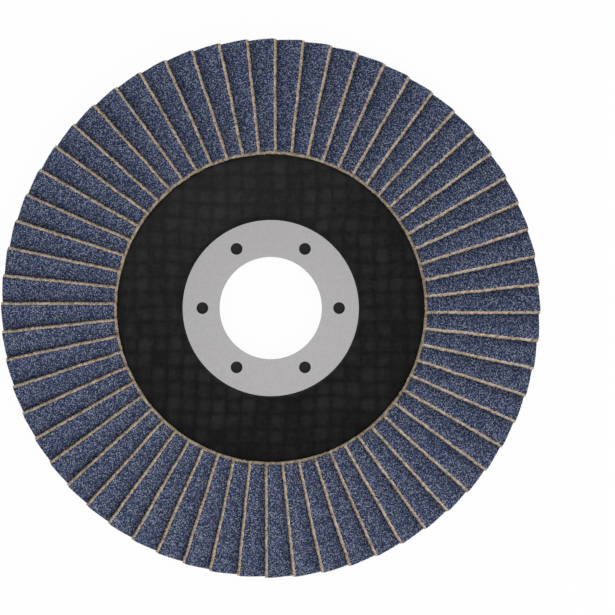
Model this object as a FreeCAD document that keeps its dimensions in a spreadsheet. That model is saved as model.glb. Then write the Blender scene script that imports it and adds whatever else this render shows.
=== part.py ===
# Flap disc for an angle grinder: a sunk-hub plate of resin-bonded glass cloth,
# a pressed steel ring round the bore and sixty strips of abrasive cloth, shingled on the
# plate's conical flange and standing in a bed of resin.
# Frame: millimetres, origin on the bore's axis at the back of the hub, +Z towards the grain.
import FreeCAD, Part
import os
from math import atan2

import Sketcher
from FreeCAD import Vector

doc = FreeCAD.newDocument("flap_disc")


# Driving dimensions, in millimetres and degrees
sizes = doc.addObject("Spreadsheet::Sheet", "sizes")
driving = {
    "disc_diameter": 115.0,
    "bore_diameter": 22.23,
    # backing plate
    "plate_thickness": 2.6,
    "crest_radius": 32.6,
    "dish_depth": 4.9,
    "cone_angle": 13.0,
    "hub_fillet": 4.0,
    "hub_border": 0.8,
    "flap_overhang": 4.0,
    # centre ring
    "ring_diameter": 38.0,
    "ring_thickness": 0.8,
    "collar_wall": 0.7,
    "flare_depth": 0.85,
    "flare_setback": 0.15,
    "seat_clearance": 0.05,
    "hole_count": 6,
    "hole_circle": 29.5,
    "hole_diameter": 2.55,
    # flaps
    "flap_count": 60,
    "flaps_per_group": 2,
    "flap_width": 13.0,
    "flap_start": 32.3,
    "edge_offset": 1.16,
    "cloth_thickness": 0.55,
    "grain_thickness": 0.35,
    "bare_edge": 0.35,
    "flap_clearance": 0.05,
    # adhesive bed
    "bed_thickness": 0.6,
    "step_height": 2.2,
    "bed_inset": 1.6,
    "bed_margin": 1.0,
}
for row, (alias, value) in enumerate(driving.items(), start=1):
    sizes.set(f"A{row}", alias)
    sizes.set(f"B{row}", str(value))
    sizes.setAlias(f"B{row}", alias)
doc.recompute()


# Worked-out dimensions, each a formula of the driving ones
worked = doc.addObject("Spreadsheet::Sheet", "worked")
formulas = {
    "disc_radius": "sizes.disc_diameter / 2",
    "bore_radius": "sizes.bore_diameter / 2",
    "rim_radius": "disc_radius - sizes.flap_overhang",
    "cone_slope": "tan(sizes.cone_angle)",
    # the dish begins a border past the ring, and its fillet leaves the ring on the flat
    "hub_radius": "sizes.ring_diameter / 2 + sizes.hub_border",
    "dish_angle": "atan(sizes.dish_depth / (sizes.crest_radius - hub_radius)) / 1 deg",
    "hub_bend": "min(sizes.hub_fillet; (sizes.hub_border - sizes.seat_clearance)"
                " / tan(dish_angle / 2))",
    "crest_height": "sizes.plate_thickness + sizes.dish_depth",
    "rim_height": "crest_height - cone_slope * (rim_radius - sizes.crest_radius)",
    "ring_top": "sizes.plate_thickness + sizes.ring_thickness",
    # the collar's flare starts here, and the plate's bore is opened for it at 45 degrees
    "flare_height": "sizes.flare_setback + sizes.flare_depth",
    "seat_wall": "sizes.collar_wall + sizes.seat_clearance",
    # a flap is a flat sheet: it falls outwards with the cone, and by the tilt towards its
    # buried side. The tilt is the least at which neighbours, one pitch apart, clear each
    # other at the buried corner of the inner end, where they lie tightest
    "pitch": "360 / sizes.flap_count",
    "flap_thickness": "sizes.cloth_thickness + sizes.grain_thickness",
    "buried_side": "sizes.flap_width - sizes.edge_offset",
    "lift_per_tilt": "sizes.flap_start * sin(pitch) + buried_side * (1 - cos(pitch))",
    "cone_loss": "cone_slope * (buried_side * sin(pitch) - sizes.flap_start * (1 - cos(pitch)))"
                 " + sizes.flap_clearance",
    "tilt_square": "lift_per_tilt ^ 2 - flap_thickness ^ 2",
    "tilt_rest": "flap_thickness ^ 2 * (1 + cone_slope ^ 2) - cone_loss ^ 2",
    "tilt": "(lift_per_tilt * cone_loss"
            " + sqrt((lift_per_tilt * cone_loss) ^ 2 + tilt_square * tilt_rest)) / tilt_square",
    # the sheet's thickness straight up, and how far its cut edges lean for each height
    "tilt_stretch": "sqrt(1 + cone_slope ^ 2 + tilt ^ 2)",
    "cloth_rise": "sizes.cloth_thickness * tilt_stretch",
    "grain_rise": "sizes.grain_thickness * tilt_stretch",
    "lean": "tilt / tilt_stretch ^ 2",
    # the underside's height at the buried corner of the inner end
    "buried_radius": "sqrt(buried_side ^ 2 + sizes.flap_start ^ 2)",
    "buried_height": "crest_height - cone_slope * (buried_radius - sizes.crest_radius)"
                     " + sizes.bed_thickness",
    "bed_inner": "sizes.crest_radius + sizes.bed_inset",
    "bed_outer": "rim_radius - sizes.bed_margin",
}
for row, (alias, formula) in enumerate(formulas.items(), start=1):
    worked.set(f"A{row}", alias)
    worked.set(f"B{row}", "=" + formula)
    worked.setAlias(f"B{row}", alias)
doc.recompute()


def origin_feature(body, role):
    """One of the body's own origin planes or axes."""
    return next(part for part in body.Origin.OriginFeatures if part.Role == role)


def new_sketch(body, name, role, offset="0"):
    """A sketch on an origin plane of the body, moved along the plane's normal."""
    sketch = body.newObject("Sketcher::SketchObject", name)
    sketch.AttachmentSupport = [(origin_feature(body, role), "")]
    sketch.MapMode = "FlatFace"
    sketch.setExpression("AttachmentOffset.Base.z", offset)
    return sketch


def number(expression):
    """The present value of an expression."""
    return float(worked.evalExpression(expression))


def pin_point(sketch, geometry, position, point):
    """Ties one point of the sketch to two expressions."""
    for kind, axis, expression in (("DistanceX", -2, point[0]), ("DistanceY", -1, point[1])):
        if expression == "0":
            sketch.addConstraint(Sketcher.Constraint("PointOnObject", geometry, position, axis))
            continue
        rule = Sketcher.Constraint(kind, -1, 1, geometry, position, number(expression))
        index = sketch.addConstraint(rule)
        sketch.setExpression(f"Constraints[{index}]", expression)


def draw_outline(sketch, corners):
    """Closes an outline of straight lines and arcs.

    A corner is (x, y), or (x, y, (mid_x, mid_y)) where an arc runs to the next corner through
    that middle point. All are expressions.
    """
    points = [Vector(number(corner[0]), number(corner[1]), 0) for corner in corners]
    starts = []
    for index, corner in enumerate(corners):
        start = points[index]
        end = points[(index + 1) % len(corners)]
        if len(corner) == 2:
            starts.append((sketch.addGeometry(Part.LineSegment(start, end)), 1, 2))
            continue
        middle = Vector(number(corner[2][0]), number(corner[2][1]), 0)
        curve = Part.Arc(start, middle, end).toShape().Curve
        turn = (middle - start).cross(end - middle).z
        angles = [atan2(point.y - curve.Center.y, point.x - curve.Center.x)
                  for point in ((start, end) if turn > 0 else (end, start))]
        circle = Part.Circle(curve.Center, Vector(0, 0, 1), curve.Radius)
        arc = sketch.addGeometry(Part.ArcOfCircle(circle, angles[0], angles[1]))
        guide = sketch.addGeometry(Part.Point(middle), True)
        pin_point(sketch, guide, 1, corner[2])
        sketch.addConstraint(Sketcher.Constraint("PointOnObject", guide, 1, arc))
        starts.append((arc, 1, 2) if turn > 0 else (arc, 2, 1))
    for index, corner in enumerate(corners):
        geometry, first, last = starts[index]
        following = starts[(index + 1) % len(corners)]
        rule = Sketcher.Constraint("Coincident", geometry, last, following[0], following[1])
        sketch.addConstraint(rule)
        pin_point(sketch, geometry, first, corner)


def bend(corner, angle_in, angle_out, radius, depth="0"):
    """Start, middle and end of the arc that rounds a corner of a sheet's outline.

    The angles are the headings before and after the corner. depth is how far the outline lies
    to the right of the one through the corner, as the back of a sheet does.
    """
    half = f"(({angle_out}) - ({angle_in})) / 2"
    mean = f"(({angle_out}) + ({angle_in})) / 2"
    side = f"({half}) / abs({half})"
    reach = f"({radius}) + ({side}) * ({depth})"
    apex = f"(({reach}) * (1 / cos({half}) - 1) - ({side}) * ({depth}) / cos({half})) * ({side})"
    middle_x = f"{corner[0]} - ({apex}) * sin({mean})"
    middle_y = f"{corner[1]} + ({apex}) * cos({mean})"
    tangent = f"({reach}) * tan(abs({half}))"
    shift = f"({depth}) / cos({half})"
    corner_x = f"{corner[0]} + ({shift}) * sin({mean})"
    corner_y = f"{corner[1]} - ({shift}) * cos({mean})"
    start = (f"{corner_x} - ({tangent}) * cos({angle_in})",
             f"{corner_y} - ({tangent}) * sin({angle_in})")
    end = (f"{corner_x} + ({tangent}) * cos({angle_out})",
           f"{corner_y} + ({tangent}) * sin({angle_out})")
    return start, (middle_x, middle_y), end


def arc_corners(start, middle, end):
    """The two corners of an outline with an arc between them."""
    return [(start[0], start[1], middle), end]


def revolve(body, name, sketch):
    """A full turn of a sketch round the body's own vertical axis."""
    feature = body.newObject("PartDesign::Revolution", name)
    feature.Profile = sketch
    feature.ReferenceAxis = (origin_feature(body, "Z_Axis"), [""])
    feature.Angle = 360
    return feature


def polar_pattern(body, name, originals, count):
    """Copies features evenly round the body's vertical axis."""
    pattern = body.newObject("PartDesign::PolarPattern", name)
    pattern.Originals = originals
    pattern.Axis = (origin_feature(body, "Z_Axis"), [""])
    pattern.Angle = 360
    pattern.setExpression("Occurrences", count)
    body.Tip = pattern
    return pattern


def add_circle(sketch, x, y, radius):
    """A circle whose centre and radius are expressions."""
    centre = Vector(number(x), number(y), 0)
    circle = sketch.addGeometry(Part.Circle(centre, Vector(0, 0, 1), number(radius)))
    pin_point(sketch, circle, 3, (x, y))
    index = sketch.addConstraint(Sketcher.Constraint("Radius", circle, number(radius)))
    sketch.setExpression(f"Constraints[{index}]", radius)


def make_backing_plate():
    """Pressed plate: flat hub, rising dish and a flange that falls away as a cone."""
    body = doc.addObject("PartDesign::Body", "backing_plate")
    sketch = new_sketch(body, "plate_section", "XZ_Plane")
    thickness = "sizes.plate_thickness"
    hub_corner = ("worked.hub_radius", thickness)
    crest_corner = ("sizes.crest_radius", "worked.crest_height")
    rim_corner = ("worked.rim_radius", "worked.rim_height")
    rim_back = (f"worked.rim_radius - {thickness} * sin(sizes.cone_angle)",
                f"worked.rim_height - {thickness} * cos(sizes.cone_angle)")
    dish = "worked.dish_angle"
    cone = "-sizes.cone_angle"
    hub_front = bend(hub_corner, "0", dish, "worked.hub_bend")
    hub_back = bend(hub_corner, "0", dish, "worked.hub_bend", thickness)
    crest_turn = f"(({dish}) - ({cone})) / 2"
    crest_mean = f"(({dish}) + ({cone})) / 2"
    crest_back = (f"sizes.crest_radius + {thickness} * sin({crest_mean}) / cos({crest_turn})",
                  f"worked.crest_height - {thickness} * cos({crest_mean}) / cos({crest_turn})")
    opening = "worked.seat_wall * sqrt(2)"
    bore = "worked.bore_radius + worked.seat_wall"
    corners = [(bore, thickness)]
    corners += arc_corners(*hub_front)
    corners += [crest_corner, rim_corner, rim_back, crest_back]
    corners += arc_corners(*reversed(hub_back))
    corners += [(f"worked.bore_radius + worked.flare_height + {opening}", "0"),
                (bore, f"worked.flare_height + {opening} - worked.seat_wall")]
    draw_outline(sketch, corners)
    revolve(body, "plate_pressing", sketch)
    return body


def make_centre_ring():
    """Pressed steel eyelet: flat ring, collar through the bore, its end flared into the hub."""
    body = doc.addObject("PartDesign::Body", "centre_ring")
    sketch = new_sketch(body, "ring_section", "XZ_Plane")
    bore = "worked.bore_radius"
    outer = "sizes.ring_diameter / 2"
    top = "worked.ring_top"
    wall = "sizes.collar_wall"
    corners = [(outer, "sizes.plate_thickness"), (outer, top), (bore, top),
               (bore, "worked.flare_height"),
               (f"{bore} + sizes.flare_depth", "sizes.flare_setback"),
               (f"{bore} + sizes.flare_depth + {wall} / sqrt(2)",
                f"sizes.flare_setback + {wall} / sqrt(2)"),
               (f"{bore} + {wall}", f"worked.flare_height + {wall} * (sqrt(2) - 1)"),
               (f"{bore} + {wall}", "sizes.plate_thickness")]
    draw_outline(sketch, corners)
    revolve(body, "ring_pressing", sketch)

    hole_sketch = new_sketch(body, "anchor_hole_section", "XY_Plane", top)
    add_circle(hole_sketch, "sizes.hole_circle / 2", "0", "sizes.hole_diameter / 2")
    hole = body.newObject("PartDesign::Pocket", "anchor_hole")
    hole.Profile = hole_sketch
    hole.setExpression("Length", "sizes.ring_thickness")
    polar_pattern(body, "anchor_holes", [hole], "sizes.hole_count")
    return body


def sheet_height(across, along, lift):
    """Height of a flap's sheet at a point of its plan, over the underside by lift."""
    return (f"worked.buried_height + {lift} + worked.tilt * (worked.buried_side - ({across}))"
            f" - worked.cone_slope * (({along}) - sizes.flap_start)")


def leaning_side(across, height):
    """Where a cut edge is at some height over the underside; it passes across at the cloth's."""
    return f"({across} + worked.lean * (({height}) - worked.cloth_rise))"


def lay_sheet(body, kind, name, start, sides, below, above):
    """A sheet's section across the flap, run out and down the cone's slope to the rim.

    Its underside and top are at two heights over the flap's underside.
    """
    sketch = new_sketch(body, f"{name}_section", "YZ_Plane", start)
    corners = []
    for side, lift in ((0, below), (1, below), (1, above), (0, above)):
        across = leaning_side(sides[side], lift)
        corners.append((across, sheet_height(across, start, lift)))
    draw_outline(sketch, corners)
    layer = body.newObject(f"PartDesign::{kind}", name)
    layer.Profile = sketch
    layer.UseCustomVector = True
    layer.Direction = (1, 0, -number("worked.cone_slope"))
    layer.setExpression("Direction.z", "-worked.cone_slope")
    layer.AlongSketchNormal = True
    layer.setExpression("Length", f"worked.disc_radius - {start}")
    return layer


def make_first_flaps(label):
    """The first group: one strip of coated cloth, copied evenly round the axis.

    The grain stops short of the raised cut edge and of the inner end, and shows bare cloth.
    """
    body = doc.addObject("PartDesign::Body", label)
    body.AllowCompound = True
    raised = "(-sizes.edge_offset)"
    buried = "worked.buried_side"
    cloth = lay_sheet(body, "Pad", "cloth", "sizes.flap_start", (raised, buried),
                      "0", "worked.cloth_rise")
    bare = "(sizes.bare_edge - sizes.edge_offset)"
    grain = lay_sheet(body, "Pad", "grain", "(sizes.flap_start + sizes.bare_edge)",
                      (bare, buried), "worked.cloth_rise",
                      "(worked.cloth_rise + worked.grain_rise)")

    # the outer ends are trimmed true to the disc's diameter
    trim_sketch = new_sketch(body, "trim_section", "XY_Plane")
    add_circle(trim_sketch, "0", "0", "worked.disc_radius")
    add_circle(trim_sketch, "0", "0", "worked.disc_radius + sizes.flap_width")
    trim = body.newObject("PartDesign::Pocket", "trim")
    trim.Profile = trim_sketch
    trim.Type = "ThroughAll"
    trim.Reversed = True
    polar_pattern(body, "flaps_round", [cloth, grain, trim], "sizes.flaps_per_group")
    return body


def make_more_flaps(first, label, index):
    """A further group of flaps, the first one turned by a whole number of pitches."""
    body = doc.addObject("PartDesign::Body", label)
    body.AllowCompound = True
    copy = body.newObject("PartDesign::FeatureBase", f"{label}_copy")
    copy.BaseFeature = first
    body.Tip = copy
    body.setExpression("Placement.Rotation.Angle", f"{index} * 360 / sizes.flap_count")
    return body


def make_adhesive_bed():
    """Resin between the flange and the flaps: a step behind every flap's buried edge, and the
    next flap's underside in its top."""
    body = doc.addObject("PartDesign::Body", "adhesive_bed")
    sketch = new_sketch(body, "bed_section", "XZ_Plane")

    def flange(radius):
        return f"worked.crest_height - worked.cone_slope * ({radius} - sizes.crest_radius)"

    def resin_top(radius):
        along = f"sqrt({radius} ^ 2 - worked.buried_side ^ 2)"
        return sheet_height("worked.buried_side", along, "sizes.step_height")

    inner = "worked.bed_inner"
    outer = "worked.bed_outer"
    draw_outline(sketch, [(inner, flange(inner)),
                          (outer, flange(outer)),
                          (outer, resin_top(outer)),
                          (inner, resin_top(inner))])
    revolve(body, "bed_ring", sketch)
    buried = "worked.buried_side"
    run = "(worked.buried_side - worked.disc_radius * sin(worked.pitch))"
    print_of_flap = lay_sheet(body, "Pocket", "flap_print", "sizes.flap_start", (run, buried),
                              "0", "(2 * sizes.step_height)")
    polar_pattern(body, "flap_prints", [print_of_flap], "sizes.flap_count")
    return body


plate = make_backing_plate()
ring = make_centre_ring()
group_count = round(sizes.flap_count / sizes.flaps_per_group)
labels = [f"flap_pair_{index + 1:02d}" for index in range(group_count)]
flaps = [make_first_flaps(labels[0])]
doc.recompute()
flaps += [make_more_flaps(flaps[0], labels[index], index) for index in range(1, group_count)]
bed = make_adhesive_bed()
nodes = [plate, ring, bed] + flaps
doc.recompute()


# Every object must have worked, and every piece must be a sound solid, before any is written
for item in doc.Objects:
    faults = [state for state in item.State if state in ("Invalid", "Error")]
    if faults:
        raise RuntimeError(f"{item.Label} failed: {faults}")
for node in nodes:
    if node.Shape.isNull() or not node.Shape.isValid() or not node.Shape.Solids:
        raise RuntimeError(f"{node.Label} has no valid solid")

os.makedirs("parts", exist_ok=True)
for node in nodes:
    node.Shape.exportStep(f"parts/{node.Label}.step")
    solids = len(node.Shape.Solids)
    print(f"{node.Label}: {solids} solid(s), {node.Shape.Volume:.1f} mm3")
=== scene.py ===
from math import cos, pi, radians, sin, sqrt, tan

import bpy
import numpy as np
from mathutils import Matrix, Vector


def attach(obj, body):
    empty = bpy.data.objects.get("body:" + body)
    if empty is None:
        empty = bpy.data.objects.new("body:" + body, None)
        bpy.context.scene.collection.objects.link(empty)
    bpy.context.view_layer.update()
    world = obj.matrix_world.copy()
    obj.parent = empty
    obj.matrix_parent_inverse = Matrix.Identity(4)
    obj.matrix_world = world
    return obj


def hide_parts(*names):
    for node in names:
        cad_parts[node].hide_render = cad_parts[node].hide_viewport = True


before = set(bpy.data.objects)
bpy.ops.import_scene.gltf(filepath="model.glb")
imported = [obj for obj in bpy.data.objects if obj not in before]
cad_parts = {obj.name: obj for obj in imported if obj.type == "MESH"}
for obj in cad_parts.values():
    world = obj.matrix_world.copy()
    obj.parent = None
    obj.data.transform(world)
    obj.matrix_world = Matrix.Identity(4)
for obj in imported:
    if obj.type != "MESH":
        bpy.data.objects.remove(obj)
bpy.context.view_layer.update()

mm = 0.001  # the scene is in metres, and every size below is in millimetres

# Sizes that several pieces share, as the CAD part has them
disc = {
    "radius": 57.5,
    "coneAngle": 13.0,     # degrees, slope of the flange and of the flaps along their length
    "plateThickness": 2.6,
    "dishDepth": 4.9,
    "crestRadius": 32.6,   # where the dish meets the flange
}


# Helpers

def linearColour(hexCode):
    # sRGB hex to linear RGBA: the low end is a straight line, the rest a power of 2.4
    parts = [int(hexCode[i:i + 2], 16) / 255 for i in (1, 3, 5)]
    return [c / 12.92 if c < 0.04045 else ((c + 0.055) / 1.055) ** 2.4 for c in parts] + [1.0]


def addNode(tree, kind, settings=None, links=None):
    # one shader node: settings fill its properties or sockets, links join its sockets to others
    node = tree.nodes.new(kind)
    for key, value in (settings or {}).items():
        if isinstance(key, str) and hasattr(node, key) and key not in node.inputs:
            setattr(node, key, value)
        else:
            node.inputs[key].default_value = value
    for key, source in (links or {}).items():
        tree.links.new(source, node.inputs[key])
    return node


def addRamp(tree, source, stops):
    # colour ramp from a list of (place, hex colour)
    ramp = addNode(tree, "ShaderNodeValToRGB", links={"Fac": source})
    while len(ramp.color_ramp.elements) < len(stops):
        ramp.color_ramp.elements.new(0.5)
    for element, (place, hexCode) in zip(ramp.color_ramp.elements, stops):
        element.position = place
        element.color = linearColour(hexCode)
    return ramp.outputs["Color"]


def addNoise(tree, place, size, detail=2.0):
    # soft random pattern whose blotches are about size millimetres across
    noise = addNode(tree, "ShaderNodeTexNoise", {"Scale": 1 / (size * mm), "Detail": detail},
                    {"Vector": place})
    return noise.outputs["Fac"]


def addRelief(tree, shader, height, depth, strength, invert=False):
    # bump of some millimetres' depth on a shader's normal
    bump = addNode(tree, "ShaderNodeBump", {"Strength": strength, "Distance": depth * mm,
                                            "invert": invert}, {"Height": height})
    tree.links.new(bump.outputs["Normal"], shader.inputs["Normal"])


def addPaintedShadeAndDarkEnd(tree, colour, kept):
    # colour multiplied by the kept share where the mesh's painted-shade attribute is 1: painted
    # shade in corners and at a cut's foot, and a darker inner end
    paintedShadeAndDarkEnd = addNode(tree, "ShaderNodeAttribute", {"attribute_name": "paintedShadeAndDarkEnd"})
    mixed = addNode(tree, "ShaderNodeMixRGB", {"blend_type": "MULTIPLY",
                                               "Color2": linearColour(kept)},
                    {"Fac": paintedShadeAndDarkEnd.outputs["Fac"], "Color1": colour})
    return mixed.outputs["Color"]


def newMaterial(name):
    material = bpy.data.materials.new(name)
    material.use_nodes = True
    tree = material.node_tree
    return material, tree, tree.nodes["Principled BSDF"]


def gridQuads(rows, columns, closeColumns=False):
    # quads between the neighbours of a grid of points numbered row by row
    row, column = np.meshgrid(np.arange(rows - 1), np.arange(columns - (not closeColumns)),
                              indexing="ij")
    right = (column + 1) % columns
    quads = np.stack([row * columns + column, row * columns + right,
                      (row + 1) * columns + right, (row + 1) * columns + column], -1)
    return quads.reshape(-1, 4)


def newPiece(name, points, faces, materials, sharpAngle, faceMaterials=None, uv=None):
    # mesh object from an array of points in millimetres and a list of face index lists; edges
    # steeper than sharpAngle degrees are shaded sharp
    mesh = bpy.data.meshes.new(name)
    mesh.from_pydata((points * mm).tolist(), [], faces)
    for material in materials:
        mesh.materials.append(material)
    if faceMaterials is not None:
        mesh.polygons.foreach_set("material_index", np.asarray(faceMaterials, np.int32))
    if uv is not None:
        layer = mesh.uv_layers.new(name="weave")
        corners = np.empty(len(mesh.loops), np.int32)
        mesh.loops.foreach_get("vertex_index", corners)
        layer.data.foreach_set("uv", uv[corners].astype(np.float32).ravel())
    mesh.polygons.foreach_set("use_smooth", np.ones(len(mesh.polygons), bool))
    mesh.set_sharp_from_angle(angle=radians(sharpAngle))
    mesh.update()
    piece = bpy.data.objects.new(name, mesh)
    bpy.context.scene.collection.objects.link(piece)
    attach(piece, "root")
    return piece


def setAttribute(piece, name, values):
    # one number for each point of the mesh, for the materials to read
    layer = piece.data.attributes.new(name, "FLOAT", "POINT")
    layer.data.foreach_set("value", values.astype(np.float32).ravel())


def smoothNoise(generator, count, spacing):
    # random values one spacing apart, joined by a smooth curve, in the range -1 to 1
    knots = generator.uniform(-1, 1, int(count / spacing) + 3)
    place = np.arange(count) / spacing
    index = place.astype(int)
    blend = (1 - np.cos(pi * (place - index))) / 2
    return knots[index] * (1 - blend) + knots[index + 1] * blend


# Materials

grit = {
    "grainSize": 0.26,      # mm across one abrasive grain
    "tones": [(0.0, "#1a2744"), (0.35, "#42527a"), (0.70, "#7783a9"), (1.0, "#b7bdd0")],
    "hues": [(0.0, "#185570"), (0.5, "#2a3b66"), (1.0, "#5c4176")],
    "hueShare": 0.18,
    "gapShade": [(0.15, "#ffffff"), (0.60, "#505050")],  # share of the colour kept, by the distance from a grain's middle: painted shade in the gaps between grains
                                                     # from a grain's middle
    "gritKeptInShadeAndAtEnd": "#dedede",    # what the coat keeps of its colour under the painted shade in the corner under a flap's cut, and at its start by the inner end
    "bumpDepth": 0.08,      # mm
    "bumpStrength": 0.7,
    "roughness": 0.65,
    "specular": 0.2,
}


def makeGritMaterial():
    # Zirconia grit in dyed size coat, sprinkled and cured: sharp separate grains, some
    # catching the light, with painted shade in the gaps between them
    material, tree, shader = newMaterial("zirconiaGritCoated")
    place = addNode(tree, "ShaderNodeUVMap", {"uv_map": "weave"}).outputs["UV"]
    grains = addNode(tree, "ShaderNodeTexVoronoi",
                     {"voronoi_dimensions": "2D", "Scale": 1 / grit["grainSize"]},
                     {"Vector": place})
    draws = addNode(tree, "ShaderNodeSeparateColor", links={"Color": grains.outputs["Color"]})
    colour = addNode(tree, "ShaderNodeMixRGB", {"Fac": grit["hueShare"]},
                     {"Color1": addRamp(tree, draws.outputs["Red"], grit["tones"]),
                      "Color2": addRamp(tree, draws.outputs["Green"], grit["hues"])})
    gapShaded = addNode(tree, "ShaderNodeMixRGB", {"blend_type": "MULTIPLY", "Fac": 1.0},
                     {"Color1": colour.outputs["Color"],
                      "Color2": addRamp(tree, grains.outputs["Distance"], grit["gapShade"])})
    tree.links.new(addPaintedShadeAndDarkEnd(tree, gapShaded.outputs["Color"], grit["gritKeptInShadeAndAtEnd"]),
                   shader.inputs["Base Color"])
    addRelief(tree, shader, grains.outputs["Distance"], grit["bumpDepth"],
              grit["bumpStrength"], invert=True)
    shader.inputs["Roughness"].default_value = grit["roughness"]
    shader.inputs["Specular IOR Level"].default_value = grit["specular"]
    return material


cloth = {
    "threadPitch": 0.45,    # mm from thread to thread
    "tones": [(0.28, "#786757"), (0.43, "#a6947c"), (0.57, "#beab95"), (0.72, "#d3c3ae")],
    "clothKeptInShadeAndAtEnd": "#dbdde0",    # what the cloth keeps of its colour under the painted shade at the foot of the raised cut, and at the darker inner end
    "weaveShare": 0.06,     # how much of the tone comes from the threads' crossings
    "fuzzSize": 0.8,        # mm, patches of fuzz, which give the rest
    "bumpDepth": 0.08,      # mm
    "bumpStrength": 0.5,
    "roughness": 0.95,
    "specular": 0.2,
}


def makeClothMaterial():
    # Poly-cotton backing cloth, woven and stiffened with tan resin: plain weave, fuzzy cut
    # threads, no gloss
    material, tree, shader = newMaterial("resinStiffenedClothWoven")
    place = addNode(tree, "ShaderNodeUVMap", {"uv_map": "weave"}).outputs["UV"]
    split = addNode(tree, "ShaderNodeSeparateXYZ", links={"Vector": place})
    waves = []
    for axis in ("X", "Y"):
        turn = addNode(tree, "ShaderNodeMath",
                       {"operation": "MULTIPLY", 1: pi / cloth["threadPitch"]},
                       {0: split.outputs[axis]})
        waves.append(addNode(tree, "ShaderNodeMath", {"operation": "SINE"},
                             {0: turn.outputs[0]}))
    crossing = addNode(tree, "ShaderNodeMath", {"operation": "MULTIPLY"},
                       {0: waves[0].outputs[0], 1: waves[1].outputs[0]})
    where = addNode(tree, "ShaderNodeTexCoord").outputs["Object"]
    fuzz = addNoise(tree, where, cloth["fuzzSize"], detail=4.0)
    weave = addNode(tree, "ShaderNodeMath",
                    {"operation": "MULTIPLY_ADD", 1: cloth["weaveShare"]},
                    {0: crossing.outputs[0], 2: fuzz})
    tone = addRamp(tree, weave.outputs[0], cloth["tones"])
    tree.links.new(addPaintedShadeAndDarkEnd(tree, tone, cloth["clothKeptInShadeAndAtEnd"]), shader.inputs["Base Color"])
    addRelief(tree, shader, weave.outputs[0], cloth["bumpDepth"], cloth["bumpStrength"])
    shader.inputs["Roughness"].default_value = cloth["roughness"]
    shader.inputs["Specular IOR Level"].default_value = cloth["specular"]
    return material


laminate = {
    "tones": [(0.0, "#060606"), (0.8, "#232323")],
    "fibreSize": 1.0,       # mm; single glass fibres are far finer, and are drawn as streaks
                            # this coarse to show
    "drawnOut": [(0.4, 2.5, 1.0), (2.5, 0.4, 1.0)],  # the streaks along x, and along y
    "cloudSize": 1.1,       # mm
    "cloudShare": 0.85,
    "shadeShift": -1.03,    # brings the sum of weave, streaks and clouds back to the ramp
    "grainSize": 0.25,      # mm, the press plate's grain
    "bumpDepth": 0.04,      # mm
    "bumpStrength": 0.25,
    "roughness": 0.5,
    "specular": 0.12,
}


def makePlateMaterial():
    # Black phenolic resin on glass cloth, hot pressed: dark, low gloss, the weave a shade
    # lighter where its threads come up to the surface, with a hint of their fibres
    material, tree, shader = newMaterial("phenolicGlassClothPressed")
    place = addNode(tree, "ShaderNodeTexCoord").outputs["Object"]
    weave = addNode(tree, "ShaderNodeAttribute", {"attribute_name": "weaveHeight"})
    streaks = []
    for stretch in laminate["drawnOut"]:
        drawn = addNode(tree, "ShaderNodeMapping", {"Scale": stretch}, {"Vector": place})
        streaks.append(addNoise(tree, drawn.outputs["Vector"], laminate["fibreSize"],
                                detail=1.0))
    fibres = addNode(tree, "ShaderNodeMath", {"operation": "MAXIMUM"},
                     {0: streaks[0], 1: streaks[1]})
    clouds = addNode(tree, "ShaderNodeMath",
                     {"operation": "MULTIPLY_ADD", 1: laminate["cloudShare"],
                      2: laminate["shadeShift"]},
                     {0: addNoise(tree, place, laminate["cloudSize"], detail=3.0)})
    shade = addNode(tree, "ShaderNodeMath", {"operation": "ADD"},
                    {0: fibres.outputs[0], 1: clouds.outputs[0]})
    share = addNode(tree, "ShaderNodeMath", {"operation": "ADD"},
                    {0: weave.outputs["Fac"], 1: shade.outputs[0]})
    tree.links.new(addRamp(tree, share.outputs[0], laminate["tones"]),
                   shader.inputs["Base Color"])
    addRelief(tree, shader, addNoise(tree, place, laminate["grainSize"]),
              laminate["bumpDepth"], laminate["bumpStrength"])
    shader.inputs["Roughness"].default_value = laminate["roughness"]
    shader.inputs["Specular IOR Level"].default_value = laminate["specular"]
    return material


steel = {
    "tones": [(0.3, "#a4a3a3"), (0.7, "#b0aeae")],
    "grainSize": 0.25,      # mm; the plating's crystals are finer, and are drawn this coarse to
                            # show
    "bumpSize": 0.2,        # mm, the sheet's rolled grain, coarser than it is for the same reason
    "bumpDepth": 0.02,      # mm
    "bumpStrength": 0.08,
    "roughness": 0.6,
}


def makeSteelMaterial():
    # Mild steel sheet, pressed and zinc plated: pale grey, satin, a fine even grain
    material, tree, shader = newMaterial("zincPlatedSteelPressed")
    place = addNode(tree, "ShaderNodeTexCoord").outputs["Object"]
    tree.links.new(addRamp(tree, addNoise(tree, place, steel["grainSize"]), steel["tones"]),
                   shader.inputs["Base Color"])
    addRelief(tree, shader, addNoise(tree, place, steel["bumpSize"]), steel["bumpDepth"],
              steel["bumpStrength"])
    shader.inputs["Metallic"].default_value = 1.0
    shader.inputs["Roughness"].default_value = steel["roughness"]
    return material


bond = {
    "tones": [(0.3, "#1c1713"), (0.7, "#30271f")],
    "lumpSize": 1.5,        # mm
    "bumpDepth": 0.15,      # mm
    "bumpStrength": 0.4,
    "roughness": 0.35,
}


def makeBondMaterial():
    # Epoxy bond, cast in place: dark brown, smooth, slightly glossy, small lumps
    material, tree, shader = newMaterial("epoxyBondCast")
    place = addNode(tree, "ShaderNodeTexCoord").outputs["Object"]
    lumps = addNoise(tree, place, bond["lumpSize"], detail=3.0)
    tree.links.new(addRamp(tree, lumps, bond["tones"]), shader.inputs["Base Color"])
    addRelief(tree, shader, lumps, bond["bumpDepth"], bond["bumpStrength"])
    shader.inputs["Roughness"].default_value = bond["roughness"]
    return material


gritMaterial = makeGritMaterial()
clothMaterial = makeClothMaterial()
plateMaterial = makePlateMaterial()
steelMaterial = makeSteelMaterial()
bondMaterial = makeBondMaterial()
print("materials made")


# Flaps

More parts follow.
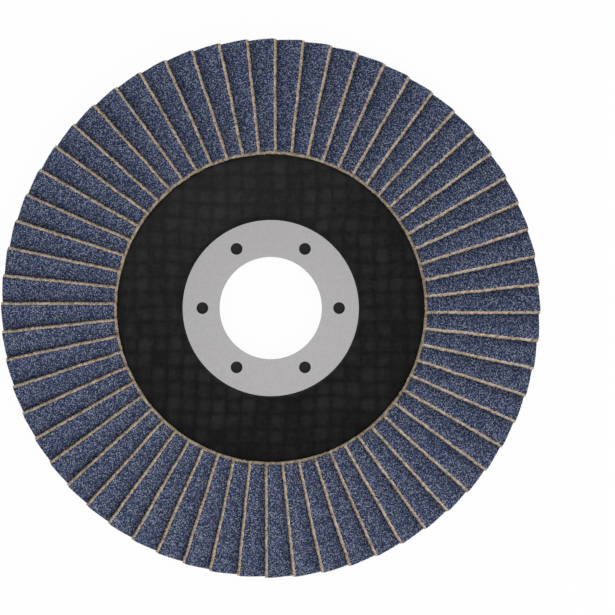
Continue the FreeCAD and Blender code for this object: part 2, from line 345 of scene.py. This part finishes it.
flap = {
    "count": 60,
    "width": 13.0,
    "start": 32.3,          # from the axis to the inner ends
    "edgeOffset": 1.16,     # raised edge before the radial line through the axis
    "cloth": 0.55,
    "grain": 0.35,
    "clearance": 0.05,
    "resinUnder": 0.6,      # resin between the flange and the buried inner corner
    "bareEdge": 0.54,       # cloth without grain along the raised edge
    "bareEnd": 0.58,        # and along the inner end
    "undercut": 0.12,       # the cut's foot behind its top
    "shownMargin": 0.5,     # finely divided width past the next flap's raised edge
    "fray": 0.09,           # how far single threads stand out of the cut edges
    "endFray": 0.15,        # and how ragged the inner end is, where the threads are cut across
    "rimFray": 0.054,       # and the rim's cut
    "threadColumns": 2.3,   # columns from thread to thread at the inner end
    "wave": 0.07,           # slow waviness of the cut edges
    "waveRows": 18,         # rows from bend to bend of the raised cut
    "waveColumns": 7,       # and columns at the inner end
    "coatFray": 0.07,       # raggedness of the coat's own border
    "coatFollows": 0.6,     # share of the raised cut's movement that the coat's border follows
    "coatEndFollows": 0.8,  # and of the inner end's
    "relief": 0.06,         # depth between the grains
    "reliefPower": 1.5,     # above 1, more grains stand high than low
    "inset": 0.02,          # the highest grains stay this far under the CAD surface
    "coatDrop": 0.08,       # width over which the coat's border falls to the cloth
    "cornerShadeReach": 3.0,      # how far the painted shade in the corner under the next cut reaches
    "clothStretch": 20,     # length of the pattern that each flap takes for itself
    "clothStretches": 997,  # how many there are before the first one is used again
    "firstSeed": 1000,      # of the flaps' random numbers
    "rows": 104,
    "sharpAngle": 50,       # degrees; steeper edges are shaded sharp
    "underColumns": 7,
    "topColumns": 34,
    "hiddenShares": [1.0, 0.66, 0.33],  # columns under the next flap, as shares of that width
    # the coat thins out to its border: shares of the grain's thickness in the last columns
    "coatBorder": [1.0, 0.92, 0.72],
    # the raised cut, worn round at its top: shares of the bare edge and the cloth's thickness
    "cut": [(0.86, 0.96), (0.64, 0.85), (0.45, 0.66), (0.32, 0.38), (0.24, 0.08)],
    # painted shade on the raised cut, darkest at its foot, column by column
    "cutFootShade": [0.0, 0.2, 0.5, 0.9, 1.0],
    # the inner end, worn round in the same way: mm from the end, share of the thickness
    "end": [(0.02, 0.42), (0.07, 0.66), (0.30, 0.92)],
}


def workFlap():
    # the tilt at which neighbours just clear each other at the buried inner corner, as in CAD
    slope = tan(radians(disc["coneAngle"]))
    pitch = 2 * pi / flap["count"]
    buried = flap["width"] - flap["edgeOffset"]
    thick = flap["cloth"] + flap["grain"]
    lift = flap["start"] * sin(pitch) + buried * (1 - cos(pitch))
    loss = slope * (buried * sin(pitch) - flap["start"] * (1 - cos(pitch))) + flap["clearance"]
    square = lift ** 2 - thick ** 2
    rest = thick ** 2 * (1 + slope ** 2) - loss ** 2
    tilt = (lift * loss + sqrt((lift * loss) ** 2 + square * rest)) / square
    stretch = sqrt(1 + slope ** 2 + tilt ** 2)
    crestHeight = disc["plateThickness"] + disc["dishDepth"]
    fall = slope * (sqrt(buried ** 2 + flap["start"] ** 2) - disc["crestRadius"])
    return {"slope": slope, "pitch": pitch, "buried": buried, "tilt": tilt,
            "lean": tilt / stretch ** 2, "clothTop": flap["cloth"] * stretch,
            "grainRise": flap["grain"] * stretch,
            "height": crestHeight - fall + flap["resinUnder"]}


work = workFlap()


def sheetPoints(across, along, lift):
    # flat tilted sheet: falls by the slope outwards and by the tilt towards the buried side,
    # with cut sides that lean square to it
    y = across + work["lean"] * (lift - work["clothTop"])
    z = (work["height"] + lift + work["tilt"] * (work["buried"] - y)
         - work["slope"] * (along - flap["start"]))
    return np.stack([along, y, z], -1)


def sectionLoop(rows, shownEnd):
    # the strip's section as a loop: under side, buried cut, grain from the hidden part to the
    # coat's border, bare strip, raised cut. Gives each point's place across and its lift
    raised, buried = -flap["edgeOffset"], work["buried"]
    clothTop, grainRise = work["clothTop"], work["grainRise"]
    under = np.linspace(raised + flap["undercut"], buried, flap["underColumns"])
    halfDrop = flap["coatDrop"] / 2
    shownStart = raised + flap["bareEdge"] + halfDrop
    shown = shownStart + (shownEnd - shownStart)[:, None] * np.linspace(1, 0,
                                                                        flap["topColumns"])
    hidden = shownEnd[:, None] + (buried - shownEnd)[:, None] * np.array(flap["hiddenShares"])
    cutShares = np.array(flap["cut"])
    one = np.ones((rows, 1))
    across = np.concatenate([one * under, one * buried, one * buried, hidden, shown,
                             one * (shownStart - 2 * halfDrop),
                             one * (raised + flap["bareEdge"] * cutShares[:, 0])], 1)
    coat = np.full(hidden.shape[1] + flap["topColumns"], 1.0)
    coat[-len(flap["coatBorder"]):] = flap["coatBorder"]
    lift = np.concatenate([np.zeros(len(under)), [clothTop * 0.5, clothTop],
                           clothTop + grainRise * coat - flap["inset"], [clothTop],
                           clothTop * cutShares[:, 1]])
    grainFrom = len(under) + 2
    return {"across": across, "lift": lift * one, "grainFrom": grainFrom,
            "shownFrom": grainFrom + hidden.shape[1], "grainTo": grainFrom + len(coat)}


def flapSurface(seed):
    # one closed strip: the section's loop carried from the inner end to the rim
    random = np.random.default_rng(seed)
    rows = flap["rows"]
    clothTop = work["clothTop"]

    # rows: a few at the bare inner end, the rest spread evenly to the rim
    bareEnd, halfDrop = flap["bareEnd"], flap["coatDrop"] / 2
    endRows = np.array([place for place, _ in flap["end"]] + [bareEnd - halfDrop,
                                                              bareEnd + halfDrop])
    ends = len(endRows)
    first = flap["start"] + endRows[-1]
    spread = np.linspace(0, 1, rows - ends + 1)[1:]
    nominal = np.concatenate([flap["start"] + endRows,
                              first + spread * (disc["radius"] - first)])
    nextEdge = nominal * tan(work["pitch"]) - flap["edgeOffset"]
    section = sectionLoop(rows, nextEdge + flap["shownMargin"])
    across, lift = section["across"], section["lift"]
    grainFrom, shownFrom, grainTo = (section[k] for k in ("grainFrom", "shownFrom", "grainTo"))
    loop = across.shape[1]

    # painted shade: darker in the corner under the next flap's cut and at the foot of the raised
    # cut, where shade falls; darker too at the inner end
    paintedShadeAndDarkEnd = np.clip(1 - (nextEdge[:, None] - across) / flap["cornerShadeReach"], 0, 1)
    paintedShadeAndDarkEnd[:, grainTo:] = 0
    paintedShadeAndDarkEnd[:, -len(flap["cut"]):] = flap["cutFootShade"]
    paintedShadeAndDarkEnd[:ends] = 1

    # fray and waviness of the raised cut, and the coat's own ragged border
    edgeMove = (flap["fray"] * random.uniform(-1, 1, rows)
                + flap["wave"] * smoothNoise(random, rows, flap["waveRows"]))
    coatMove = (flap["coatFollows"] * edgeMove
                + flap["coatFray"] * random.uniform(-1, 1, rows))
    across[:, 1 - len(flap["cut"]):] += edgeMove[:, None]
    across[:, 0] += edgeMove
    across[:, [grainTo - 1, grainTo]] += coatMove[:, None]

    # rows where the grain has not begun lie on the cloth; grains stand in random relief over
    # the part that shows
    lift[:ends - 1, grainFrom:grainTo] = clothTop
    for row, (_, share) in enumerate(flap["end"]):
        lift[row] = np.minimum(lift[row], share * clothTop)
    relief = random.uniform(0, 1, (rows - ends, grainTo - shownFrom)) ** flap["reliefPower"]
    lift[ends:, shownFrom:grainTo] -= relief * flap["relief"]

    # along: fixed near the inner end, then to the cut circle of the rim
    y = across + work["lean"] * (lift - clothTop)
    rim = np.sqrt(disc["radius"] ** 2 - y ** 2)
    along = np.empty_like(across)
    along[:ends] = flap["start"] + endRows[:, None]
    along[ends:] = first + spread[:, None] * (rim[ends:] - first)
    endMove = (flap["endFray"] * smoothNoise(random, loop, flap["threadColumns"])
               + flap["wave"] * smoothNoise(random, loop, flap["waveColumns"]))
    along[:2] += np.clip(endMove, -flap["fray"], 2 * flap["fray"])
    along[ends - 2:ends] += flap["coatEndFollows"] * endMove
    along[-1] -= flap["rimFray"] * random.uniform(0, 1, loop)

    isGrain = np.zeros((rows - 1, loop), bool)
    isGrain[ends - 2:, grainFrom - 1:grainTo] = True
    # the line between cloth and grain on the rim's cut, after the points of the rows
    line = np.s_[-1, grainFrom:grainTo]
    points = np.concatenate([sheetPoints(across, along, lift).reshape(-1, 3),
                             sheetPoints(across[line], along[line], clothTop)])
    places = np.concatenate([np.stack([across, along], -1).reshape(-1, 2),
                             np.stack([across[line], along[line]], -1)])
    # each flap takes its own stretch of the cloth, so that no two show the same grains
    stretch = flap["clothStretch"] * (seed % flap["clothStretches"])
    return {"points": points, "uv": places + [stretch, 0],
            "paintedShadeAndDarkEnd": np.append(paintedShadeAndDarkEnd, np.zeros(grainTo - grainFrom)), "isGrain": isGrain,
            "grainFrom": grainFrom, "grainTo": grainTo}


def capTriangles(points, lower, upper):
    # closes the section between two chains of points: every edge of the upper one is joined
    # to the nearest point of the lower one and the other way round
    lowerAcross, upperAcross = np.sort(points[lower, 1]), np.sort(points[upper, 1])
    toLower = lower[np.searchsorted((lowerAcross[1:] + lowerAcross[:-1]) / 2,
                                    (upperAcross[1:] + upperAcross[:-1]) / 2)]
    toUpper = upper[np.searchsorted((upperAcross[1:] + upperAcross[:-1]) / 2,
                                    (lowerAcross[1:] + lowerAcross[:-1]) / 2)]
    return np.concatenate([np.stack([upper[:-1], upper[1:], toLower], -1),
                           np.stack([lower[1:], lower[:-1], toUpper], -1)])


def stripFaces(strip):
    # the strip's faces and their materials: 0 cloth, 1 grain
    rows, loop = strip["isGrain"].shape
    rows += 1
    grainFrom, grainTo = strip["grainFrom"], strip["grainTo"]
    rim = (rows - 1) * loop
    lower = np.arange(flap["underColumns"] + 1)
    upper = np.arange(loop - 1, flap["underColumns"], -1)
    endCap = capTriangles(strip["points"], lower, upper)
    # the rim's cut: cloth below the line, grain between the line and the coat's surface
    line = rows * loop + np.arange(grainTo - grainFrom)[::-1]
    edge = rim + np.arange(grainTo, grainFrom - 2, -1)
    bare = rim + np.arange(loop - 1, grainTo - 1, -1)
    rimCap = capTriangles(strip["points"], rim + lower,
                          np.concatenate([bare, line, edge[-1:]]))
    coat = np.stack([edge[1:-2], edge[2:-1], line[1:], line[:-1]], -1).tolist()
    coat += [[edge[0], edge[1], line[0]], [edge[-2], edge[-1], line[-1]]]
    faces = (gridQuads(rows, loop, closeColumns=True).tolist() + endCap.tolist()
             + rimCap[:, ::-1].tolist() + [[int(i) for i in face[::-1]] for face in coat])
    materials = np.concatenate([strip["isGrain"].ravel(),
                                np.zeros(len(endCap) + len(rimCap)), np.ones(len(coat))])
    return faces, materials


def makeFlapPair(index):
    # two strips that lie opposite each other, as the CAD node holds them
    allPoints, allUv, allPaintedShadeAndDarkEnd, allFaces, allMaterials = [], [], [], [], []
    offset = 0
    for side in (0, 1):
        strip = flapSurface(flap["firstSeed"] + 2 * index + side)
        faces, materials = stripFaces(strip)
        allFaces += [[i + offset for i in face] for face in faces]
        turn = index * work["pitch"] + side * pi
        x, y, z = strip["points"].T
        allPoints.append(np.stack([x * cos(turn) - y * sin(turn),
                                   x * sin(turn) + y * cos(turn), z], -1))
        allUv.append(strip["uv"])
        allPaintedShadeAndDarkEnd.append(strip["paintedShadeAndDarkEnd"])
        allMaterials.append(materials)
        offset += len(strip["points"])
    piece = newPiece(f"flapPair{index + 1:02d}", np.concatenate(allPoints), allFaces,
                     [clothMaterial, gritMaterial], flap["sharpAngle"],
                     np.concatenate(allMaterials), np.concatenate(allUv))
    setAttribute(piece, "paintedShadeAndDarkEnd", np.concatenate(allPaintedShadeAndDarkEnd))
    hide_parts(f"flap_pair_{index + 1:02d}")


for pairIndex in range(flap["count"] // 2):
    makeFlapPair(pairIndex)
print("flaps made:", flap["count"])


# Backing plate

plate = {
    "hubRadius": 19.8,
    "hubFillet": 4.0,
    "crestFillet": 2.5,
    "rimRadius": 53.5,
    "edgeRounding": 0.5,
    "boreRadius": 11.865,   # clears the ring's collar
    "flareHeight": 1.0,     # the collar's flare starts here, and the bore opens at 45 degrees
    "flareRoom": 0.75,      # for the collar's wall, measured square to the flare
    "weaveFrom": 19.1,      # the plate is smooth under the ring
    "weaveTo": 52.3,        # and at its own rim
    "fadeIn": 0.4,
    "fadeOut": 0.8,
    "levelShare": 0.5,      # smooth too where the normal has less than this along the axis
    "threadPitch": 3.2,     # glass roving to roving
    "weaveDepth": 0.14,
    # each set of rovings wanders sideways by sines: share of a pitch, mm along it, start
    "wanderAcross": [(0.10, 6.1, 0.0), (0.06, 2.3, 1.0)],
    "wanderAlong": [(0.10, 7.3, 2.0), (0.06, 2.7, 0.0)],
    "weaveShares": (0.15, 0.50, 0.35),  # of a pillow's height: fixed, its own, its roving's
    "spacing": 0.5,         # longest step along the section
    "arcStep": 0.12,        # radians, the same round its fillets
    "sharpAngle": 35,       # degrees; steeper edges are shaded sharp
    "turns": 450,
}


def filletedProfile(corners):
    # corners (r, z, fillet radius) joined by straight runs and round arcs, closed
    points = []
    count = len(corners)
    for i, (r, z, radius) in enumerate(corners):
        here = np.array([r, z])
        back = np.array(corners[i - 1][:2]) - here
        ahead = np.array(corners[(i + 1) % count][:2]) - here
        back, ahead = back / np.linalg.norm(back), ahead / np.linalg.norm(ahead)
        if radius == 0:
            points.append(here[None, :])
            continue
        half = np.arccos(np.clip(back @ ahead, -1, 1)) / 2
        reach = radius / tan(half)
        bisector = (back + ahead) / np.linalg.norm(back + ahead)
        centre = here + bisector * radius / sin(half)
        start, end = here + back * reach, here + ahead * reach
        a0 = np.arctan2(*(start - centre)[::-1])
        a1 = np.arctan2(*(end - centre)[::-1])
        sweep = (a1 - a0 + pi) % (2 * pi) - pi
        steps = max(4, int(abs(sweep) / plate["arcStep"]))
        turn = a0 + sweep * np.linspace(0, 1, steps)
        points.append(centre + radius * np.stack([np.cos(turn), np.sin(turn)], -1))
    return np.concatenate(points)


def divideProfile(profile):
    # closed profile with its long runs divided to the plate's spacing
    ahead = np.roll(profile, -1, axis=0)
    pieces = []
    for start, end in zip(profile, ahead):
        steps = max(1, int(np.ceil(np.linalg.norm(end - start) / plate["spacing"])))
        pieces.append(start + (end - start) * (np.arange(steps) / steps)[:, None])
    return np.concatenate(pieces)


def chance(seed):
    # a fixed random number from 0 to 1 for each value of the seed: the far digits of its sine
    return np.modf(np.abs(np.sin(seed) * 43758.5453))[0]


def wander(waves, place):
    # sum of sines: each wave's share times the sine of the place over its length, plus a start
    return sum(share * np.sin(place / length + start) for share, length, start in waves)


def weaveHeight(x, y):
    # plain weave seen through resin: pillows between the grooves of a square grid that wanders
    # a little. Each is the product of two rounded half waves, times a random share for its
    # crossing and one for its thread, which lies over at every other crossing. The factors in
    # the seeds only keep the random numbers of neighbours apart
    u = x / plate["threadPitch"] + wander(plate["wanderAcross"], y)
    v = y / plate["threadPitch"] + wander(plate["wanderAlong"], x)
    column, row = np.floor(u), np.floor(v)
    pillow = (np.abs(np.sin(pi * u)) * np.abs(np.sin(pi * v))) ** 0.5
    crossing = chance(column * 12.9898 + row * 78.233)
    thread = np.where((column + row) % 2 == 0, chance(column * 3.7 + 1), chance(row * 5.3 + 2))
    fixed, own, shared = plate["weaveShares"]
    return pillow * (fixed + own * crossing + shared * thread)


def plateProfile():
    # the plate's section, as the CAD part draws it: front from the bore to the rim, and the
    # back inwards again, each corner with its fillet's radius
    thick = disc["plateThickness"]
    crest = thick + disc["dishDepth"]
    dish = np.arctan2(disc["dishDepth"], disc["crestRadius"] - plate["hubRadius"])
    cone = radians(disc["coneAngle"])
    rim = crest - work["slope"] * (plate["rimRadius"] - disc["crestRadius"])
    # the back lies a thickness behind the front, measured square to each run
    meanTurn, halfTurn = (dish - cone) / 2, (dish + cone) / 2
    opening = plate["flareHeight"] + plate["flareRoom"] * sqrt(2)
    return divideProfile(filletedProfile([
        (plate["boreRadius"], thick, 0),
        (plate["hubRadius"], thick, plate["hubFillet"]),
        (disc["crestRadius"], crest, plate["crestFillet"]),
        (plate["rimRadius"], rim, plate["edgeRounding"]),
        (plate["rimRadius"] - thick * sin(cone), rim - thick * cos(cone),
         plate["edgeRounding"]),
        (disc["crestRadius"] + thick * sin(meanTurn) / cos(halfTurn),
         crest - thick * cos(meanTurn) / cos(halfTurn), plate["edgeRounding"]),
        (plate["hubRadius"] + thick * tan(dish / 2), 0, plate["hubFillet"] + thick),
        (plate["boreRadius"] - plate["flareRoom"] + opening, 0, 0),
        (plate["boreRadius"], opening - plate["flareRoom"], 0),
    ]))


def makePlate():
    # the profile carried round the axis, x = r cos t and y = r sin t, and the weave pressed
    # into it square to the sheet, inwards from the CAD surface; none where the ring, the
    # grinder's flange and the rim's cut edge are
    profile = plateProfile()
    ahead = np.roll(profile, -1, axis=0) - np.roll(profile, 1, axis=0)
    normal = np.stack([-ahead[:, 1], ahead[:, 0]], -1)
    normal /= np.linalg.norm(normal, axis=1)[:, None]
    r = profile[:, 0]
    angle = (np.arange(plate["turns"]) * 2 * pi / plate["turns"])[:, None]
    hollow = 1 - weaveHeight(r * np.cos(angle), r * np.sin(angle))
    shown = np.where(np.abs(normal[:, 1]) > plate["levelShare"],
                     np.clip((r - plate["weaveFrom"]) / plate["fadeIn"], 0, 1), 0)
    shown = shown * np.clip((plate["weaveTo"] - r) / plate["fadeOut"], 0, 1)
    depth = plate["weaveDepth"] * hollow * shown
    pressed = r - depth * normal[:, 0]
    points = np.stack([pressed * np.cos(angle), pressed * np.sin(angle),
                       profile[:, 1] - depth * normal[:, 1]], -1)
    rows, columns = points.shape[:2]
    quads = gridQuads(rows + 1, columns, closeColumns=True) % (rows * columns)
    piece = newPiece("backingPlate", points.reshape(-1, 3), quads.tolist(), [plateMaterial],
                     plate["sharpAngle"])
    setAttribute(piece, "weaveHeight", 1 - hollow * shown)
    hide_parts("backing_plate")


makePlate()
print("backing plate made")


# Centre ring and adhesive bed: the CAD nodes themselves, dressed

for nodeName, material in (("centre_ring", steelMaterial), ("adhesive_bed", bondMaterial)):
    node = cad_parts[nodeName]
    node.data.materials.clear()
    node.data.materials.append(material)
print("ring and bed dressed")


# Floor, light and camera

studio = {
    "floorSize": 3.0,          # metres across
    "floorColour": "#f2f2f2",
    "floorGlow": 0.95,         # share of plain white in the floor as the camera sees it
    "worldLight": 0.76,        # soft light from all round
    "keyAzimuth": 293,         # degrees, the soft box stands lower right in the photograph
    "keyElevation": 52,
    "keyDistance": 1.2,        # metres
    "keySize": 1.0,
    "keyPower": 5.4,
}


def seenDirectly(tree):
    # 1 for the rays that see the backdrop itself: the camera's, and those mirrored or let
    # through by a piece; 0 for the rays that carry its light
    ray = addNode(tree, "ShaderNodeLightPath")
    either = addNode(tree, "ShaderNodeMath", {"operation": "MAXIMUM"},
                     {0: ray.outputs["Is Camera Ray"], 1: ray.outputs["Is Glossy Ray"]})
    return addNode(tree, "ShaderNodeMath", {"operation": "MAXIMUM"},
                   {0: either.outputs[0], 1: ray.outputs["Is Transmission Ray"]}).outputs[0]


def makeFloor():
    # matt white paper: a plain white to the camera, and a surface that keeps the disc's shadow
    half = studio["floorSize"] / 2
    mesh = bpy.data.meshes.new("floor")
    mesh.from_pydata([(-half, -half, 0), (half, -half, 0), (half, half, 0), (-half, half, 0)],
                     [], [(0, 1, 2, 3)])
    floor = bpy.data.objects.new("floor", mesh)
    bpy.context.scene.collection.objects.link(floor)
    material, tree, shader = newMaterial("paperWhiteFloor")
    shader.inputs["Base Color"].default_value = linearColour(studio["floorColour"])
    shader.inputs["Roughness"].default_value = 1.0
    shader.inputs["Specular IOR Level"].default_value = 0.0
    glow = addNode(tree, "ShaderNodeEmission", {"Strength": 1.0})
    share = addNode(tree, "ShaderNodeMath", {"operation": "MULTIPLY", 1: studio["floorGlow"]},
                    {0: seenDirectly(tree)})
    mixed = addNode(tree, "ShaderNodeMixShader", links={0: share.outputs[0],
                                                        1: shader.outputs[0],
                                                        2: glow.outputs[0]})
    output = next(n for n in tree.nodes if n.type == "OUTPUT_MATERIAL")
    tree.links.new(mixed.outputs[0], output.inputs["Surface"])
    mesh.materials.append(material)


def makeWorld():
    # soft even light, white where it is seen directly
    world = bpy.data.worlds.new("studioWorld")
    bpy.context.scene.world = world
    world.use_nodes = True
    tree = world.node_tree
    light = tree.nodes["Background"]
    light.inputs["Color"].default_value = linearColour("#ffffff")
    light.inputs["Strength"].default_value = studio["worldLight"]
    white = addNode(tree, "ShaderNodeBackground", {"Strength": 1.0, "Color": (1, 1, 1, 1)})
    mixed = addNode(tree, "ShaderNodeMixShader", links={0: seenDirectly(tree),
                                                        1: light.outputs[0],
                                                        2: white.outputs[0]})
    output = next(n for n in tree.nodes if n.type == "OUTPUT_WORLD")
    tree.links.new(mixed.outputs[0], output.inputs["Surface"])


def makeKeyLight():
    # one large soft box that faces the disc from its azimuth a and elevation e
    a, e = radians(studio["keyAzimuth"]), radians(studio["keyElevation"])
    place = Vector((cos(a) * cos(e), sin(a) * cos(e), sin(e))) * studio["keyDistance"]
    lamp = bpy.data.lights.new("softBox", "AREA")
    lamp.shape = "SQUARE"
    lamp.size = studio["keySize"]
    lamp.energy = studio["keyPower"]
    lampObject = bpy.data.objects.new("softBox", lamp)
    bpy.context.scene.collection.objects.link(lampObject)
    lampObject.location = place
    lampObject.rotation_euler = place.to_track_quat("Z", "Y").to_euler()


cameraView = {
    "height": 308.0,         # mm above the floor, on the disc's axis
    "tipHeight": 7.4,        # mm, the rim's highest points, at the raised edges
    "tipInPhoto": 270.05,    # px, their distance from the axis in the photograph
    "centreInPhoto": (270.74, 308.1),
    "photoSize": 615,
    "sensor": 36.0,          # mm across
    "nearest": 0.01,         # metres, nothing nearer is drawn
}


def makeCamera():
    # looks straight down; the focal length follows from the tips' radius in the photograph
    size = cameraView["photoSize"]
    focalPixels = (cameraView["tipInPhoto"] * (cameraView["height"] - cameraView["tipHeight"])
                   / disc["radius"])
    data = bpy.data.cameras.new("camera")
    data.sensor_width = cameraView["sensor"]
    data.lens = focalPixels * cameraView["sensor"] / size
    data.shift_x = (size / 2 - cameraView["centreInPhoto"][0]) / size
    data.shift_y = (cameraView["centreInPhoto"][1] - size / 2) / size
    data.clip_start = cameraView["nearest"]
    camera = bpy.data.objects.new("camera", data)
    bpy.context.scene.collection.objects.link(camera)
    camera.location = (0, 0, cameraView["height"] * mm)
    bpy.context.scene.camera = camera


makeFloor()
makeWorld()
makeKeyLight()
makeCamera()
bpy.context.scene.view_settings.view_transform = "Standard"
print("floor, light and camera made")
